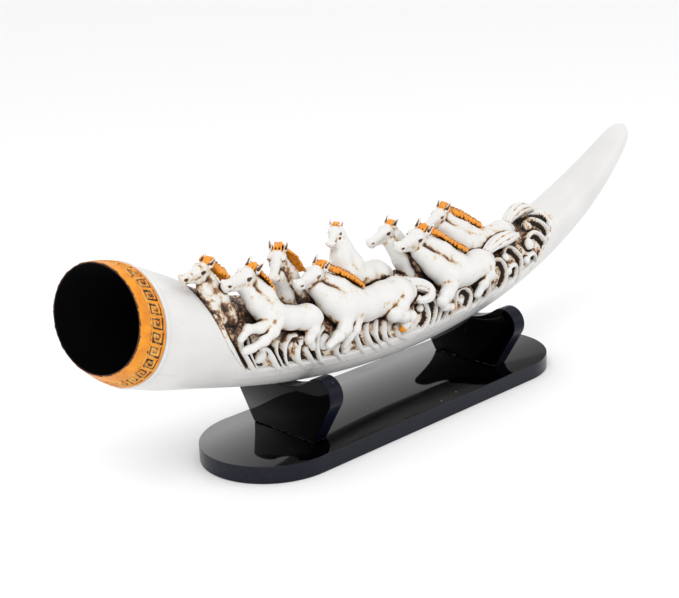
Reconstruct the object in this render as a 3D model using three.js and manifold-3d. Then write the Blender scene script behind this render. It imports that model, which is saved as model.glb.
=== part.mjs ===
// A carved ornamental horn lying in two cradles on a black acrylic base.
// Millimetres, +Z up. The origin is the centre of the base's underside. +X runs from the horn's
// open mouth to its closed tip, and -Y is the carved front. The horn lifts straight out.
import * as THREE from 'three';
import { mergeVertices } from 'three/addons/utils/BufferGeometryUtils.js';
import Module from 'manifold-3d';

const wasm = await Module();
wasm.setup();
const { Manifold, Mesh } = wasm;

// Stand: everything is cut from one sheet.
const SHEET = 8;
const BASE_LENGTH = 210;
const BASE_WIDTH = 66;
const CRADLE_PITCH = 124; // from one cradle's middle to the other's
const CRADLE_FOOT = 40; // width where a cradle meets the base
const CRADLE_TIP_RADIUS = 8;
const CRADLE_TIP_SPREAD = 49.6; // between the centres of a cradle's two rounded tips
const SEAT_RADIUS = 34; // concave seat under the horn
const SEAT_RISE = 23.4; // lowest point of the seat above the base's top face
const TAB_WIDTH = 24; // each cradle has one tab glued in a slot of the base
const EDGE_BREAK = 0.4; // polished edges
const CLEARANCE = 0.3; // between any two pieces

// Horn: the centreline runs s = 0 (mouth) to HORN_LENGTH (tip), curving upwards at both ends.
const HORN_LENGTH = 374;
const MOUTH_X = -156.4; // middle of the mouth
const MOUTH_DROP = 27.6; // degrees that the centreline falls at the mouth
const BEND = 0.15; // degrees of upward turn per millimetre
const CURL = 0.62; // how much tighter the bend is at the tip, as a share of BEND
const MOUTH_YAW = 14; // the cut of the mouth is turned to the front, and up, from square
const MOUTH_TILT = 8;
const MOUTH_BLEND = 60; // length over which sections turn from that cut to square
const LIP_RADIUS = 21.8;
const BAND_LENGTH = 11;
const BAND_RADIUS = 25.2; // outside radius where the band meets the horn
const TAPER = [[0.06, 24.3], [0.15, 20.9], [0.28, 19], [0.47, 16.7], [0.66, 14.9], [0.83, 12.1],
  [0.94, 8.5], [0.985, 5.3], [1, 0]]; // [share of HORN_LENGTH, radius]
const LIP_BORE = 20.6;
const BORE = [[11, 21.2], [55, 15.6], [105, 13], [160, 10], [176, 6], [180, 0]]; // [s, radius]
const AROUND = 36; // facets round the horn

// Carved field: a recess along the front and top, filled by the rock ground.
const RECESS = 3;
const GROUND_DROP = 1.2; // rock ground below the horn's smooth surface
const RIDGE_RISE = 6; // extra height of the ground under the back row of horses
const FIELD_TOP = 118; // degrees round from the front (0 is level, 90 is the top)
const FIELD_END = 284; // s of the rounded right-hand end
const FIELD_START = [[0, 66], [0.3, 46], [0.65, 33], [1, 31]]; // [share of height, s]
const FIELD_FOOT = [[60, -32], [120, -20], [190, -14], [240, -18], [290, -8]]; // [s, degrees]

// Each horse is a set of tapering limbs. A station is [s, degrees round, height, radius].
const HERD = {
  horse_1: [
    [[21, 50, 3.5, 2.6], [35, 60, 5, 4.8]],
    [[38, 64, 5, 4.5], [50, 45, -1, 6], [58, 30, -2, 5]],
  ],
  horse_2: [
    [[45, 52, 9, 2.6], [61, 64, 9, 5]],
    [[64, 67, 8, 4.6], [74, 42, 3, 6.6], [97, 38, 2.5, 6.2]],
    [[77, 28, 3.5, 3], [68, 11, 3.5, 2.1], [61, 2, 3, 1.8]],
    [[98, 32, 2.5, 4.6], [95, 10, 2.5, 2]],
  ],
  horse_3: [
    [[83, 76, 9, 2.8], [88, 85, 14.5, 4.8], [104, 86, 6, 6]],
  ],
  horse_4: [
    [[91, 60, 11, 3], [107, 69, 9.5, 5.6]],
    [[112, 70, 8, 5.8], [123, 47, 3, 8.2], [158, 52, 3, 8]],
    [[119, 27, 3, 3.4], [114, 13, 3, 2.4], [109, 4, 3, 2]],
    [[158, 46, 3, 6], [150, 26, 3, 3.6], [160, 18, 3, 2.5], [156, 8, 3, 2]],
    [[166, 58, 4, 3], [176, 46, 3, 3.4], [176, 28, 2, 2.2]],
  ],
  horse_5: [
    [[122, 85, 22.5, 2.6], [130, 91, 26, 4.4], [133, 86, 12, 5.4]],
    [[133, 84, 9, 6.5], [158, 90, 6, 6]],
  ],
  horse_6: [
    [[155, 92, 20, 2.5], [171, 97, 21, 4.3], [184, 96, 8, 5.5]],
  ],
  horse_7: [
    [[165, 76, 19.5, 2.7], [184, 82, 16, 4.8]],
    [[188, 80, 14, 5], [198, 54, 3.5, 7.5], [221, 48, 2.5, 7.2]],
    [[190, 30, 3, 3.2], [184, 22, 3, 2.3], [190, 9, 3, 1.9]],
    [[222, 42, 2, 5], [220, 24, 2, 3], [213, 9, 2, 1.9]],
    [[228, 57, 3, 2.4], [241, 58, 4, 3.3], [254, 54, 2.5, 2.6]],
  ],
  horse_8: [
    [[199, 92, 20.5, 2.5], [215, 97, 20, 4.6]],
    [[218, 98, 18.5, 4.4], [231, 92, 4, 7], [252, 84, 1, 6.5]],
    [[258, 88, 2, 2.6], [270, 91, 4, 4], [281, 86, 1, 3]],
  ],
};

// Curled wave crests along the foot of the field, bulging towards the nearer end.
const WAVE_COUNT = 14;
const WAVE_START = 68;
const WAVE_END = 268;
const WAVE_REACH = 7; // radius of a crest's curl
const WAVE_THICKNESS = 2.2;

const { degToRad, lerp, smoothstep } = THREE.MathUtils;

const IVORY = { color: 0xeceae4, roughness: 0.32, metalness: 0 };
const WASHED = { color: 0x6b4a34, roughness: 0.75, metalness: 0 };
const GILT = { color: 0xe08a10, roughness: 0.38, metalness: 0 };
const ACRYLIC = { color: 0x07080d, roughness: 0.08, metalness: 0 };

const group = new THREE.Group();
group.name = 'carved_horn_on_stand';

function add(name, geometry, look) {
  const mesh = new THREE.Mesh(geometry, new THREE.MeshStandardMaterial({ ...look, name }));
  mesh.name = name;
  group.add(mesh);
}

// A smooth curve through [x, y] points, held level beyond its ends.
function through(points, x) {
  if (x <= points[0][0]) return points[0][1];
  const last = points.length - 1;
  if (x >= points[last][0]) return points[last][1];
  const i = points.findIndex((p) => p[0] > x) - 1;
  const slope = (j) => {
    const a = points[Math.max(j - 1, 0)];
    const b = points[Math.min(j + 1, last)];
    return (b[1] - a[1]) / (b[0] - a[0]);
  };
  const [[x0, y0], [x1, y1]] = [points[i], points[i + 1]];
  const w = x1 - x0;
  const t = (x - x0) / w;
  return (1 + 2 * t) * (1 - t) ** 2 * y0 + t * (1 - t) ** 2 * w * slope(i)
    + t * t * (3 - 2 * t) * y1 - t * t * (1 - t) * w * slope(i + 1);
}

// Solids --------------------------------------------------------------------------------------

function toSolid(geometry) {
  const bare = new THREE.BufferGeometry();
  bare.setAttribute('position', geometry.getAttribute('position'));
  if (geometry.index) bare.setIndex(geometry.index);
  const merged = mergeVertices(bare, 1e-4);
  const position = merged.getAttribute('position');
  const corner = (i) => new THREE.Vector3().fromBufferAttribute(position, i);
  const index = merged.index.array;
  const tris = [];
  let volume = 0;
  for (let i = 0; i < index.length; i += 3) {
    const [a, b, c] = [index[i], index[i + 1], index[i + 2]];
    if (a === b || b === c || c === a) continue;
    tris.push(a, b, c);
    volume += corner(a).dot(corner(b).cross(corner(c)));
  }
  if (volume < 0) tris.reverse(); // faces look outwards
  return new Manifold(new Mesh({
    numProp: 3,
    vertProperties: Float32Array.from(position.array),
    triVerts: Uint32Array.from(tris),
  }));
}

function fromSolid(solid) {
  const mesh = solid.getMesh();
  const indexed = new THREE.BufferGeometry();
  indexed.setAttribute('position', new THREE.BufferAttribute(mesh.vertProperties, 3));
  indexed.setIndex(new THREE.BufferAttribute(mesh.triVerts, 1));
  const geometry = indexed.toNonIndexed();
  geometry.computeVertexNormals();
  return geometry;
}

const union = (solids) => solids.reduce((a, b) => a.add(b));
const largest = (solid) => solid.decompose().reduce((a, b) => (b.volume() > a.volume() ? b : a));

// A closed skin over rings of points. A ring of one point closes an end.
function skin(rings) {
  const points = [];
  const tris = [];
  const starts = rings.map((ring) => points.push(...ring) - ring.length);
  for (let i = 0; i + 1 < rings.length; i += 1) {
    const [n, m] = [rings[i].length, rings[i + 1].length];
    for (let j = 0; j < Math.max(n, m); j += 1) {
      const [a, b] = [starts[i] + (j % n), starts[i] + ((j + 1) % n)];
      const [c, d] = [starts[i + 1] + (j % m), starts[i + 1] + ((j + 1) % m)];
      if (n > 1) tris.push(a, c, b);
      if (m > 1) tris.push(b, c, d);
    }
  }
  const geometry = new THREE.BufferGeometry();
  geometry.setAttribute('position', new THREE.Float32BufferAttribute(
    points.flatMap((p) => [p.x, p.y, p.z]), 3));
  geometry.setIndex(tris);
  return toSolid(geometry);
}

// Horn --------------------------------------------------------------------------------------------

const halfPitch = CRADLE_PITCH / 2;
const seatHeight = SHEET + SEAT_RISE;

function outerRadius(s) {
  const body = TAPER.map(([share, radius]) => [share * HORN_LENGTH, radius]);
  return through([[BAND_LENGTH, BAND_RADIUS], ...body], s);
}

// Points of the centreline, one per millimetre, starting at the origin.
function centreline(pitch) {
  const points = [{ x: 0, z: 0, angle: degToRad(pitch - MOUTH_DROP) }];
  for (let s = 1; s <= Math.ceil(HORN_LENGTH); s += 1) {
    const turn = s + (CURL * s ** 3) / (3 * HORN_LENGTH ** 2);
    const angle = degToRad(pitch - MOUTH_DROP + BEND * turn);
    const { x, z } = points[s - 1];
    points.push({ x: x + Math.cos(angle), z: z + Math.sin(angle), angle });
  }
  return points;
}

function undersideAt(line, x) {
  const under = line.map((p, s) => ({
    x: p.x + outerRadius(s) * Math.sin(p.angle),
    z: p.z - outerRadius(s) * Math.cos(p.angle),
  }));
  const i = under.findIndex((p, s) => s > BAND_LENGTH && p.x > x);
  const t = (x - under[i - 1].x) / (under[i].x - under[i - 1].x);
  return lerp(under[i - 1].z, under[i].z, t);
}

// The horn settles until it bears on the inner edges of both seats.
function settle() {
  const inner = halfPitch - SHEET / 2;
  let pitch = 0;
  let line;
  for (let i = 0; i < 12; i += 1) {
    line = centreline(pitch);
    const drop = undersideAt(line, inner - MOUTH_X) - undersideAt(line, -inner - MOUTH_X);
    pitch -= THREE.MathUtils.radToDeg(Math.atan2(drop, 2 * inner));
  }
  const lift = seatHeight + CLEARANCE - undersideAt(line, inner - MOUTH_X);
  return line.map((p) => ({ ...p, x: p.x + MOUTH_X, z: p.z + lift }));
}

const line = settle();

function centreAt(s) {
  const i = Math.min(Math.max(Math.floor(s), 0), line.length - 2);
  const t = s - i;
  return {
    x: lerp(line[i].x, line[i + 1].x, t),
    z: lerp(line[i].z, line[i + 1].z, t),
    angle: lerp(line[i].angle, line[i + 1].angle, t),
  };
}

// A point by distance along the horn, degrees round from the front, and radius.
function onSection(s, degrees, radius) {
  const c = centreAt(s);
  const [yaw, tilt] = [degToRad(MOUTH_YAW), degToRad(MOUTH_TILT)];
  const cut = new THREE.Vector3(
    Math.cos(tilt) * Math.cos(yaw), Math.cos(tilt) * Math.sin(yaw), -Math.sin(tilt));
  const along = new THREE.Vector3(Math.cos(c.angle), 0, Math.sin(c.angle))
    .lerp(cut, smoothstep(1 - s / MOUTH_BLEND, 0, 1)).normalize();
  const front = along.clone().cross(new THREE.Vector3(0, 0, 1)).normalize();
  const up = front.clone().cross(along);
  return new THREE.Vector3(c.x, 0, c.z)
    .addScaledVector(front, radius * Math.cos(degToRad(degrees)))
    .addScaledVector(up, radius * Math.sin(degToRad(degrees)));
}

const onHorn = (s, degrees, height) => onSection(s, degrees, outerRadius(s) + height);

function ring(s, radius) {
  if (radius <= 0) return [onSection(s, 0, 0)];
  return Array.from({ length: AROUND }, (_, i) => onSection(s, (i * 360) / AROUND, radius));
}

function steps(from, to, count) {
  return Array.from({ length: count + 1 }, (_, i) => lerp(from, to, i / count));
}

const shellStart = BAND_LENGTH + CLEARANCE;
const boreEnd = BORE[BORE.length - 1][0];
const tipStations = [0.965, 0.985, 0.995, 1].map((share) => share * HORN_LENGTH);
const outside = [...steps(shellStart, 0.94 * HORN_LENGTH, 26), ...tipStations];
const inside = [...steps(boreEnd, boreEnd - 16, 4), ...steps(boreEnd - 32, shellStart, 9)];

const boreRadius = (s) => through([[0, LIP_BORE], ...BORE], s);
const hollowHorn = skin([
  ...outside.map((s) => ring(s, outerRadius(s))).reverse(),
  ...inside.map((s) => ring(s, boreRadius(s))).reverse(),
]);

// Carved field --------------------------------------------------------------------------------------

// A place in the field: a runs along it and b up it, both 0 to 1.
function fieldPlace(a, b) {
  const s = lerp(through(FIELD_START, b), FIELD_END - 22 * (2 * b - 1) ** 2, a);
  return { s, degrees: lerp(through(FIELD_FOOT, s), FIELD_TOP, b) };
}

function groundHeight(s, degrees) {
  const onTop = smoothstep(degrees, 58, 82) * (1 - smoothstep(degrees, 98, FIELD_TOP));
  const midway = smoothstep(s, 80, 130) * (1 - smoothstep(s, 190, 250));
  const rocky = 0.5 * Math.sin(s / 3.1) * Math.cos(degrees / 8.3);
  return RIDGE_RISE * onTop * midway + rocky - GROUND_DROP;
}

// A closed slab over the field, from one height to another, drawn in by an inset.
function fieldSlab(inset, low, high) {
  const [na, nb] = [40, 10];
  const [da, db] = [inset / (FIELD_END - 40), inset / 48];
  const point = (i, j, height) => {
    const { s, degrees } = fieldPlace(lerp(da, 1 - da, i / na), lerp(db, 1 - db, j / nb));
    return onHorn(s, degrees, height(s, degrees));
  };
  const slice = (i, under, over) => [
    ...Array.from({ length: nb + 1 }, (_, j) => point(i, j, over)),
    ...Array.from({ length: nb + 1 }, (_, j) => point(i, nb - j, under)),
  ];
  const middle = (s, degrees) => (low(s, degrees) + high(s, degrees)) / 2;
  const slices = Array.from({ length: na + 1 }, (_, i) => slice(i, low, high));
  return skin([slice(0, middle, middle), ...slices, slice(na, middle, middle)]);
}

const TROUGH = 4 * CLEARANCE; // between the rock ground and the recess's walls
const recess = fieldSlab(0, () => -RECESS, () => RIDGE_RISE + 8);
const ground = fieldSlab(TROUGH, () => 2 * CLEARANCE - RECESS, groundHeight);

// What the figures must stay clear of: the rock ground and the smooth horn round it.
const grownHorn = skin([ring(shellStart, 0),
  ...outside.map((s) => ring(s, outerRadius(s) + (s < HORN_LENGTH ? CLEARANCE : 0)))]);
const keepOut = union([
  fieldSlab(TROUGH, () => -RECESS, (s, degrees) => groundHeight(s, degrees) + CLEARANCE),
  grownHorn.subtract(fieldSlab(TROUGH, () => -RECESS, () => RIDGE_RISE + 8)),
]);

// Figures ------------------------------------------------------------------------------------------

// A limb with round ends, tapering from one station to the next.
function limb(from, to, grow) {
  const [a, b] = [from, to].map(([s, degrees, height]) => onHorn(s, degrees, height));
  const [ra, rb] = [from[3] + grow, to[3] + grow];
  const length = a.distanceTo(b);
  const profile = [[0, -ra], [0.72 * ra, -0.7 * ra], [ra, 0], [rb, length],
    [0.72 * rb, length + 0.7 * rb], [0, length + rb]].map((p) => new THREE.Vector2(...p));
  const geometry = new THREE.LatheGeometry(profile, 8);
  const turn = new THREE.Quaternion().setFromUnitVectors(
    new THREE.Vector3(0, 1, 0), b.clone().sub(a).normalize());
  geometry.applyQuaternion(turn).translate(a.x, a.y, a.z);
  return toSolid(geometry);
}

function figure(chains, grow) {
  return union(chains.flatMap((chain) => chain.slice(1).map((to, i) => limb(chain[i], to, grow))));
}

// Front horses are whole. Each one further back is cut clear of those before it.
const frontToBack = ['horse_2', 'horse_4', 'horse_7', 'horse_1', 'horse_3', 'horse_5', 'horse_8',
  'horse_6'];
let taken = keepOut;
const carved = new Map();
for (const name of frontToBack) {
  carved.set(name, largest(figure(HERD[name], 0).subtract(taken)));
  taken = taken.add(figure(HERD[name], CLEARANCE));
}

function waveStations(k) {
  const s = lerp(WAVE_START, WAVE_END, k / (WAVE_COUNT - 1));
  const bulge = k < WAVE_COUNT / 2 ? -1 : 1;
  const foot = through(FIELD_FOOT, s);
  const perDegree = degToRad(1) * outerRadius(s);
  return steps(-65, 115, 4).map((angle, i) => {
    const swing = degToRad(angle);
    const up = WAVE_REACH * (1.15 + Math.sin(swing));
    const thickness = WAVE_THICKNESS * (1 - 0.16 * Math.abs(i - 2));
    return [s + bulge * WAVE_REACH * 0.8 * Math.cos(swing), foot + up / perDegree, 0, thickness];
  });
}

for (let k = 0; k < WAVE_COUNT; k += 1) {
  const crest = [waveStations(k)];
  carved.set(`wave_${k + 1}`, largest(figure(crest, 0).subtract(taken)));
  taken = taken.add(figure(crest, CLEARANCE));
}

add('horn_shell', fromSolid(hollowHorn.subtract(recess)), IVORY);
add('rock_ground', fromSolid(ground), WASHED);
for (const [name, solid] of carved) add(name, fromSolid(solid), IVORY);

// Band round the mouth, flaring from the thin lip to the horn's full width.
const bandOutside = (s) => through([[0, LIP_RADIUS - 0.4], [0.8, LIP_RADIUS + 0.4],
  [BAND_LENGTH * 0.6, lerp(LIP_RADIUS, BAND_RADIUS, 0.72)], [BAND_LENGTH, BAND_RADIUS]], s);
const bandStations = steps(0, BAND_LENGTH, 5);
const bandRings = [
  ...bandStations.map((s) => ring(s, bandOutside(s))),
  ...bandStations.map((s) => ring(s, boreRadius(s))).reverse(),
];
add('mouth_band', fromSolid(skin([...bandRings, bandRings[0]].reverse())), GILT);

// Stand --------------------------------------------------------------------------------------------

function plate(shape, z) {
  const geometry = new THREE.ExtrudeGeometry(shape, {
    depth: SHEET - 2 * EDGE_BREAK,
    bevelThickness: EDGE_BREAK,
    bevelSize: EDGE_BREAK,
    bevelOffset: -EDGE_BREAK,
    bevelSegments: 1,
    curveSegments: 14,
  });
  return geometry.translate(0, 0, z + EDGE_BREAK);
}

function basePlate() {
  const [end, half] = [(BASE_LENGTH - BASE_WIDTH) / 2, BASE_WIDTH / 2];
  const outline = new THREE.Shape();
  outline.absarc(end, 0, half, -Math.PI / 2, Math.PI / 2, false);
  outline.absarc(-end, 0, half, Math.PI / 2, Math.PI * 1.5, false);
  const solid = toSolid(plate(outline, 0));
  const slots = [-halfPitch, halfPitch].map((x) => toSolid(new THREE.BoxGeometry(
    SHEET + 2 * CLEARANCE, TAB_WIDTH + 2 * CLEARANCE, 4 * SHEET).translate(x, 0, 0)));
  return solid.subtract(union(slots));
}

// One cradle, drawn in its own plane with y = 0 at the base's top face.
function cradleOutline() {
  const [tipX, foot] = [CRADLE_TIP_SPREAD / 2, CRADLE_FOOT / 2];
  const seatY = SEAT_RISE + SEAT_RADIUS;
  const tipY = seatY - Math.sqrt((SEAT_RADIUS + CRADLE_TIP_RADIUS) ** 2 - tipX ** 2);
  const run = Math.atan2(tipY, tipX - foot);
  const flank = run + Math.acos(CRADLE_TIP_RADIUS / Math.hypot(tipY, tipX - foot)) - Math.PI;
  const join = Math.atan2(seatY - tipY, -tipX);
  const outline = new THREE.Shape();
  outline.moveTo(foot, CLEARANCE);
  outline.absarc(tipX, tipY, CRADLE_TIP_RADIUS, flank, join, false);
  outline.absarc(0, seatY, SEAT_RADIUS, join - Math.PI, -join, true);
  outline.absarc(-tipX, tipY, CRADLE_TIP_RADIUS, Math.PI - join, Math.PI - flank, false);
  outline.lineTo(-foot, CLEARANCE);
  outline.lineTo(-TAB_WIDTH / 2, CLEARANCE);
  outline.lineTo(-TAB_WIDTH / 2, CLEARANCE - SHEET);
  outline.lineTo(TAB_WIDTH / 2, CLEARANCE - SHEET);
  outline.lineTo(TAB_WIDTH / 2, CLEARANCE);
  return outline;
}

add('base_plate', fromSolid(basePlate()), ACRYLIC);
for (const [name, x] of [['cradle_left', -halfPitch], ['cradle_right', halfPitch]]) {
  const geometry = plate(cradleOutline(), -SHEET / 2);
  geometry.rotateX(Math.PI / 2).rotateZ(Math.PI / 2).translate(x, 0, SHEET);
  add(name, fromSolid(toSolid(geometry)), ACRYLIC);
}

export default group;
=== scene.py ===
"""A carved horn lying in the two cradles of a black acrylic stand.

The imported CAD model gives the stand's sizes and every piece's place. This script gives the looks:
the horn, its patterned mouth band and its carved field are built as fine meshes round the same
centreline, and the horses are sculpted as distance fields and skinned. Lengths are millimetres
until a mesh is made.
"""

import math

import bpy
import numpy as np
from mathutils import Matrix, Vector


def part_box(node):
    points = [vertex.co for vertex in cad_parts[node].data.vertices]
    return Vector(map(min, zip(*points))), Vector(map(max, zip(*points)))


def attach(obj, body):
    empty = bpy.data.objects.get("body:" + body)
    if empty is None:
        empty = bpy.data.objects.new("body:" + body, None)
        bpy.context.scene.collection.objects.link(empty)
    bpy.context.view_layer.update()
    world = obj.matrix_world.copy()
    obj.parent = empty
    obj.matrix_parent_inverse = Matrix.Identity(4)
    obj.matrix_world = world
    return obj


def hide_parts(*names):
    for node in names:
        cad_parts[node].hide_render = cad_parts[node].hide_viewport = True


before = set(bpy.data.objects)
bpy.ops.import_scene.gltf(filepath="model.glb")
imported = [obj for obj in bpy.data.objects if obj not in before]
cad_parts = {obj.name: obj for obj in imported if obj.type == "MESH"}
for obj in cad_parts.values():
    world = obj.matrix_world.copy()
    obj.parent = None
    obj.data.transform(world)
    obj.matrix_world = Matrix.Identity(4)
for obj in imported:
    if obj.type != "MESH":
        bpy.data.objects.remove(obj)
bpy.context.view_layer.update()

MM = 0.001

# Horn, as in the CAD ---------------------------------------------------------------------------

HORN_LENGTH = 374.0
MOUTH_X = -156.4
MOUTH_DROP = 27.6
BEND = 0.15
CURL = 0.62
MOUTH_YAW, MOUTH_TILT, MOUTH_BLEND = 14.0, 8.0, 60.0
LIP_RADIUS, LIP_BORE = 22.5, 21.9
BORE_DEPTH = 180.0
BAND_LENGTH, BAND_RADIUS = 11.0, 25.2
TAPER = [(0.06, 24.3), (0.15, 20.9), (0.28, 19.0), (0.47, 16.7), (0.66, 14.9), (0.83, 12.1),
         (0.94, 8.5), (0.985, 5.3), (1.0, 0.0)]
BORE = [(0, LIP_BORE), (11, LIP_BORE), (55, 15.6), (105, 13), (160, 10), (176, 6),
        (BORE_DEPTH, 0)]
FIELD_TOP = 118.0
FIELD_END, FIELD_ROUND = 284.0, 22.0
FIELD_START = [(0, 66), (0.3, 46), (0.65, 33), (1, 31)]
FIELD_FOOT = [(60, -32), (120, -20), (190, -14), (240, -18), (290, -8)]
RIDGE_RISE = 6.0
# The shell is sunk by RECESS under the carved ground, which is GROUND_DEPTH deep. The ground runs
# past the field by these shares of its length and height.
RECESS = 3.1
GROUND_DEPTH = 3.0
MARGIN_ALONG, MARGIN_UP = 0.014, 0.085
# The key pattern lies between these distances from the mouth.
KEY_LOW, KEY_HIGH = 4.3, 9.6


def box_mm(node):
    low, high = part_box(node)
    return np.array(low) / MM, np.array(high) / MM


base_low, base_high = box_mm("base_plate")
left_low, left_high = box_mm("cradle_left")
right_low, right_high = box_mm("cradle_right")
SHEET = base_high[2] - base_low[2]
CRADLE_INNER = right_low[0]


def smooth(x, low, high):
    t = np.clip((x - low) / (high - low), 0, 1)
    return t * t * (3 - 2 * t)


def through(points, x):
    """A smooth curve through (x, y) points, held level beyond its ends, as in the CAD."""
    px, py = np.array(points, float).T
    i = np.clip(np.searchsorted(px, x, side="right") - 1, 0, len(px) - 2)
    low, high = np.maximum(np.arange(len(px)) - 1, 0), np.minimum(np.arange(len(px)) + 1,
                                                                   len(px) - 1)
    slope = (py[high] - py[low]) / (px[high] - px[low])
    w = px[i + 1] - px[i]
    t = np.clip((x - px[i]) / w, 0, 1)
    return ((1 + 2 * t) * (1 - t) ** 2 * py[i] + t * (1 - t) ** 2 * w * slope[i]
            + t * t * (3 - 2 * t) * py[i + 1] - t * t * (1 - t) * w * slope[i + 1])


def outer_radius(s):
    body = [(share * HORN_LENGTH, radius) for share, radius in TAPER]
    return through([(BAND_LENGTH, BAND_RADIUS)] + body, s)


def centreline(pitch):
    s = np.arange(0, math.ceil(HORN_LENGTH) + 1.0)
    angle = np.radians(pitch - MOUTH_DROP + BEND * (s + CURL * s**3 / (3 * HORN_LENGTH**2)))
    x = np.concatenate([[0], np.cumsum(np.cos(angle[1:]))])
    z = np.concatenate([[0], np.cumsum(np.sin(angle[1:]))])
    return s, x, z, angle


def settle():
    """Turns and drops the horn until it bears on the inner edges of both seats."""
    seat = seat_height()
    pitch = 0.0
    for _ in range(12):
        s, x, z, angle = centreline(pitch)
        r = outer_radius(s)
        under_x, under_z = x + r * np.sin(angle) + MOUTH_X, z - r * np.cos(angle)
        keep = s > BAND_LENGTH
        left, right = np.interp([-CRADLE_INNER, CRADLE_INNER], under_x[keep], under_z[keep])
        pitch -= math.degrees(math.atan2(right - left, 2 * CRADLE_INNER))
    return s, x + MOUTH_X, z + seat - right, angle


def seat_height():
    """Height of the lowest point of the cradles' seats, with the CAD's clearance above it."""
    co = np.array([v.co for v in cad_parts["cradle_left"].data.vertices]) / MM
    top = co[(co[:, 2] > SHEET + 5) & (np.abs(co[:, 1]) < 6)]
    return top[:, 2].min() + 0.3


LINE = settle()


def section(s):
    """Centre, front and up directions of the horn's section at s."""
    line_s, x, z, angle = LINE
    s = np.asarray(s, float)
    a = np.interp(s, line_s, angle)
    centre = np.stack([np.interp(s, line_s, x), 0 * s, np.interp(s, line_s, z)], -1)
    yaw, tilt = math.radians(MOUTH_YAW), math.radians(MOUTH_TILT)
    cut = np.array([math.cos(tilt) * math.cos(yaw), math.cos(tilt) * math.sin(yaw),
                    -math.sin(tilt)])
    share = smooth(1 - s / MOUTH_BLEND, 0, 1)[..., None]
    along = np.stack([np.cos(a), 0 * a, np.sin(a)], -1) * (1 - share) + cut * share
    along /= np.linalg.norm(along, axis=-1, keepdims=True)
    front = np.cross(along, [0, 0, 1])
    front /= np.linalg.norm(front, axis=-1, keepdims=True)
    return centre, front, np.cross(front, along)


def on_section(s, degrees, radius):
    centre, front, up = section(s)
    a = np.radians(degrees)
    radius = np.asarray(radius, float)
    return (centre + front * (radius * np.cos(a))[..., None]
            + up * (radius * np.sin(a))[..., None])


def on_horn(s, degrees, height=0.0):
    s, degrees, height = np.broadcast_arrays(*(np.asarray(q, float)
                                               for q in (s, degrees, height)))
    return on_section(s, degrees, outer_radius(s) + height)


def unroll(x, z, stride):
    """Every place's nearest point among each stride-th of the centreline: its s, and how far the
    place lies along the line and over it from there."""
    line_s, line_x, line_z, angle = LINE
    k = np.argmin((x[..., None] - line_x[::stride]) ** 2
                  + (z[..., None] - line_z[::stride]) ** 2, -1) * stride
    dx, dz, c, s = x - line_x[k], z - line_z[k], np.cos(angle[k]), np.sin(angle[k])
    return line_s[k], dx * c + dz * s, dz * c - dx * s


def height_over(points):
    """Height of points over the horn's smooth surface."""
    x, y, z = points.T
    s, _, over = unroll(x, z, 3)
    return np.hypot(over, y) - outer_radius(s)


def field_span(b):
    """Where the carved field starts and ends along the horn, at the share b of the way up it."""
    return through(FIELD_START, np.clip(b, 0, 1)), FIELD_END - FIELD_ROUND * (2 * b - 1) ** 2


def field_share(s, degrees):
    """The CAD's field coordinates, a along and b up, of a place on the horn."""
    foot = through(FIELD_FOOT, s)
    b = (degrees - foot) / (FIELD_TOP - foot)
    start, end = field_span(b)
    return (s - start) / np.maximum(end - start, 1), b


def field_edges(s, degrees, b):
    """Distances in from the field's near end, far end and top edge."""
    start, end = field_span(b)
    return (0.84 * (s - start), end - s,
            (FIELD_TOP - degrees) * np.radians(1) * outer_radius(s))


# Mesh helpers ----------------------------------------------------------------------------------


def add_object(name, data):
    obj = bpy.data.objects.new(name, data)
    bpy.context.scene.collection.objects.link(obj)
    return obj


def make_piece(name, points, quads, body, replaced, material, colours=None, tris=None):
    """One smooth-shaded mesh from millimetre points, riding on a CAD body."""
    mesh = bpy.data.meshes.new(name)
    faces = [quads.astype(np.int32)] + ([tris.astype(np.int32)] if tris is not None else [])
    sizes = np.concatenate([np.full(len(f), f.shape[1]) for f in faces])
    mesh.vertices.add(len(points))
    mesh.vertices.foreach_set("co", (points * MM).astype(np.float32).ravel())
    mesh.loops.add(int(sizes.sum()))
    mesh.loops.foreach_set("vertex_index", np.concatenate([f.ravel() for f in faces]))
    mesh.polygons.add(len(sizes))
    mesh.polygons.foreach_set("loop_start", np.concatenate([[0], np.cumsum(sizes)[:-1]]))
    mesh.polygons.foreach_set("loop_total", sizes)
    mesh.polygons.foreach_set("use_smooth", np.ones(len(sizes), bool))
    mesh.update(calc_edges=True)
    mesh.validate()
    for key, values in (colours or {}).items():
        layer = mesh.attributes.new(key, "FLOAT", "POINT")
        layer.data.foreach_set("value", np.asarray(values, np.float32))
    mesh.materials.append(material)
    obj = add_object(name, mesh)
    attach(obj, body)
    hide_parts(*replaced)


def grid_quads(rows, columns, closed=False):
    """Quads over a grid of points stored row by row; closed joins the last column to the first."""
    i, j = np.meshgrid(np.arange(rows - 1), np.arange(columns if closed else columns - 1),
                       indexing="ij")
    k = (j + 1) % columns
    return np.stack([i * columns + j, i * columns + k, (i + 1) * columns + k,
                     (i + 1) * columns + j], -1).reshape(-1, 4)


def closed_tube(rings, inward=False):
    """Points, quads and the end caps' triangles of a tube through rings of points."""
    rows, columns = rings.shape[:2]
    count, k = rows * columns, np.arange(columns)
    after = (k + 1) % columns
    points = np.concatenate([rings.reshape(-1, 3), [rings[0].mean(0), rings[-1].mean(0)]])
    caps = np.concatenate([np.stack([k * 0 + count, after, k], 1),
                           np.stack([k * 0 + count + 1, count - columns + k,
                                     count - columns + after], 1)])
    turn = -1 if inward else 1
    return points, grid_quads(rows, columns, closed=True)[:, ::turn], caps[:, ::turn]


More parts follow.
